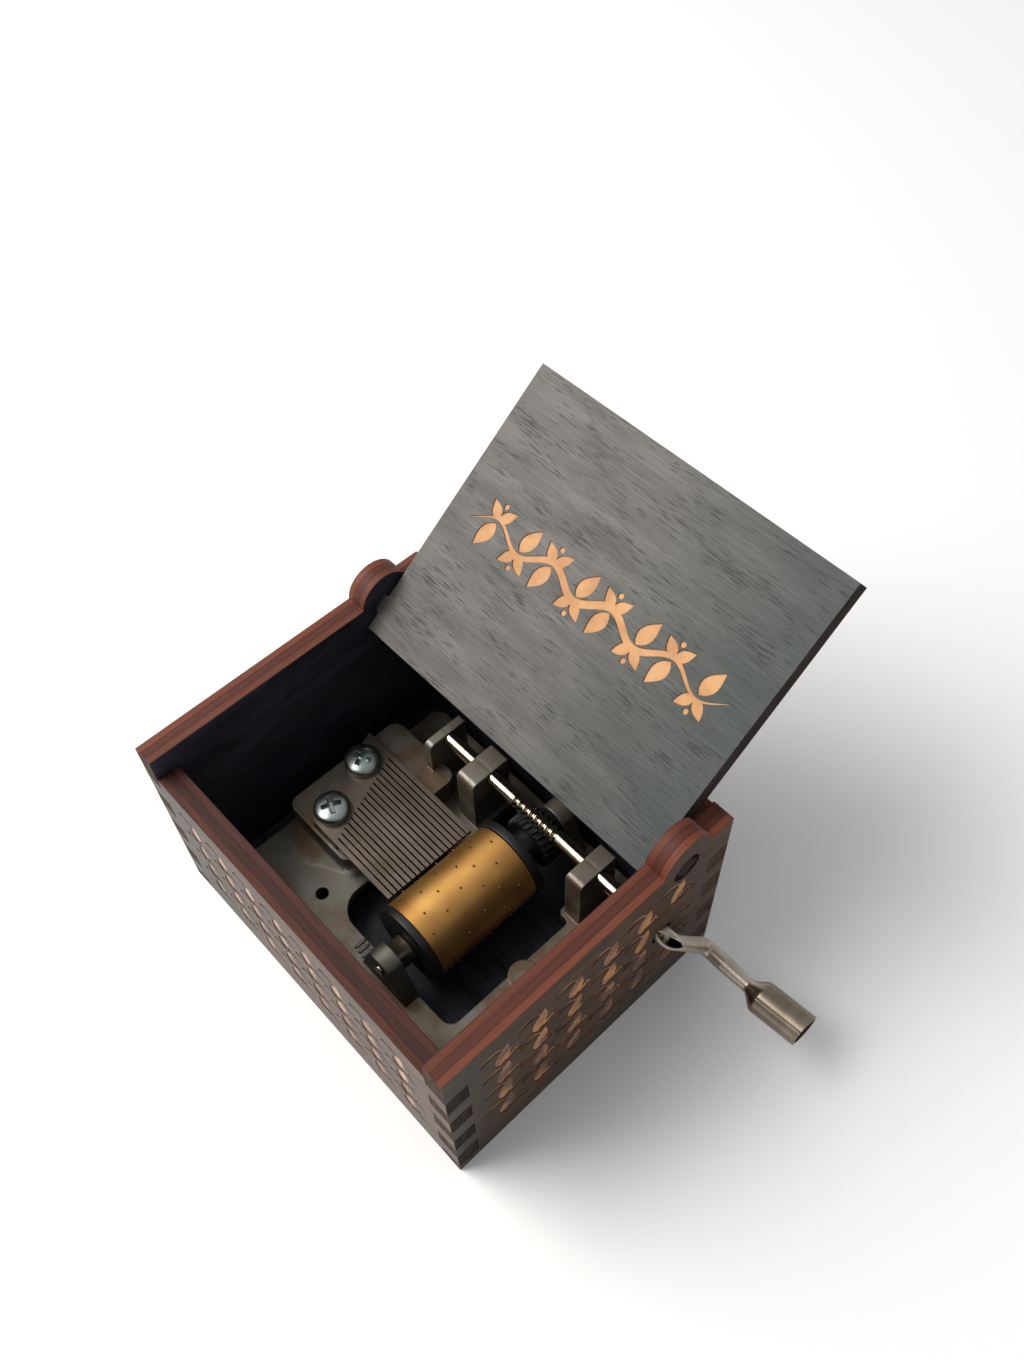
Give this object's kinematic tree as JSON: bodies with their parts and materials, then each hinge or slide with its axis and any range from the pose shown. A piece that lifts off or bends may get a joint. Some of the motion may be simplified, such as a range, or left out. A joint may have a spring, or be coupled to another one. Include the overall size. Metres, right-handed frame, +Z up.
{
  "type": "hand-cranked music box",
  "caption": "Small finger jointed plywood box with a hinged lid, a comb and pinned cylinder movement inside, and a crank of rolled sheet on its right side.",
  "frame": {"origin": "middle of the box's underside, on the surface it stands on", "axes": "+X towards the crank, +Y towards the back wall that the open lid leans on, +Z up"},
  "size_m": [0.0856, 0.0765, 0.0631],
  "materials": {
    "stained_plywood": "dark stained, matt",
    "stained_lid_plywood": "grey stained, matt",
    "cast_zinc": "as cast, satin",
    "comb_steel": "ground and tempered",
    "plated_screw": "zinc plated",
    "brass": "bright",
    "black_moulding": "moulded, satin",
    "bright_steel": "bright drawn",
    "nickel_plated_sheet": "nickel plated"
  },
  "bodies": {
    "box": {"bottom_panel": "stained_plywood", "front_wall": "stained_plywood", "back_wall": "stained_plywood", "left_wall": "stained_plywood", "right_wall": "stained_plywood", "bedplate": "cast_zinc", "comb": "comb_steel", "comb_screw_1": "plated_screw", "comb_screw_2": "plated_screw", "base_screw_1": "plated_screw", "base_screw_2": "plated_screw", "base_screw_3": "plated_screw"},
    "lid": {"lid": "stained_lid_plywood"},
    "crank": {"crank_shaft": "bright_steel", "shaft_collar": "bright_steel", "crank": "nickel_plated_sheet"},
    "barrel": {"barrel": "brass", "barrel_cap": "black_moulding", "drive_gear": "black_moulding", "arbor": "bright_steel"}
  },
  "joints": [
    {"name": "lid_hinge", "type": "hinge", "parent": "box", "child": "lid", "pos_m": [0, 0.0167, 0.0358], "axis": [1, 0, 0], "range_deg": [0, 142]},
    {"name": "crank_turn", "type": "hinge", "parent": "box", "child": "crank", "pos_m": [0.007, 0.0135, 0.01995], "axis": [1, 0, 0], "continuous": true},
    {"name": "barrel_turn", "type": "hinge", "parent": "box", "child": "barrel", "pos_m": [0.007, -0.00185, 0.0146], "axis": [0, 1, 0], "continuous": true}
  ],
  "couplings": [
    {"joint": "barrel_turn", "follows": "crank_turn", "ratio": -0.041667}
  ]
}
